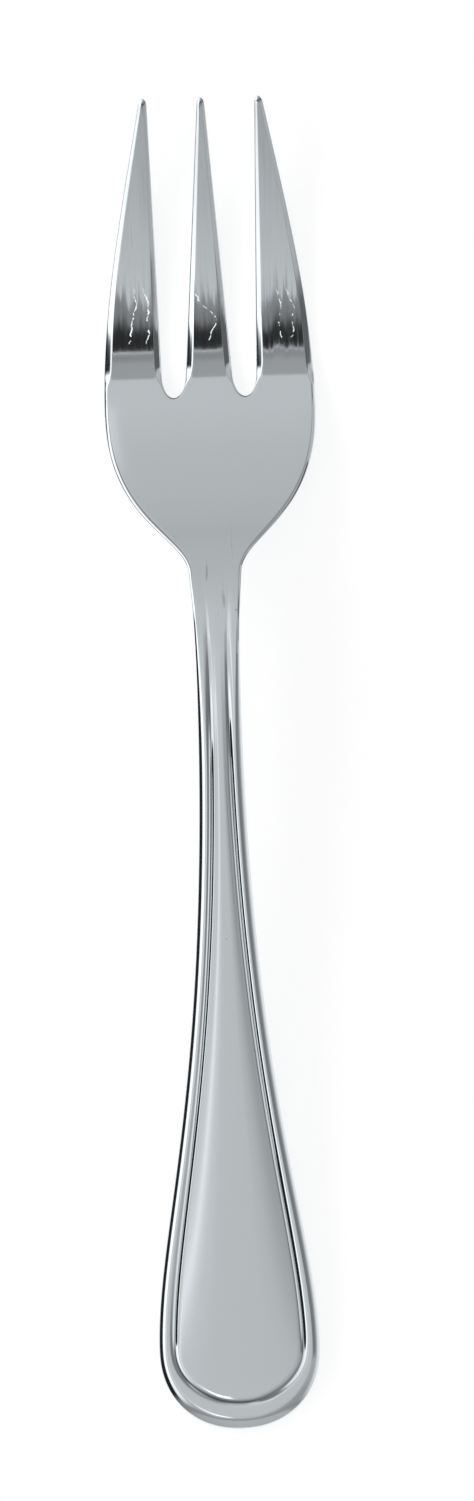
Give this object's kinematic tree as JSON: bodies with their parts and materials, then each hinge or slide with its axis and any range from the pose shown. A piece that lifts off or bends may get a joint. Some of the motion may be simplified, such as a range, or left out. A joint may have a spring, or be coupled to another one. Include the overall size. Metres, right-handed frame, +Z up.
{
  "type": "serving fork",
  "caption": "Polished one-piece serving fork: tapering bevelled tines on a flat head with round shoulders, a slim neck and a flared handle edged by a raised rim.",
  "frame": {"origin": "on the table, under the middle of the fork's length and width", "axes": "+Y along the fork from the handle end to the tine tips, +Z up out of its face, +X to the right seen from above with the tines pointing away"},
  "size_m": [0.0366, 0.23, 0.0192],
  "materials": {
    "steel": "polished, with fine lengthwise polishing marks"
  },
  "bodies": {
    "root": {"fork": "steel"}
  },
  "joints": []
}
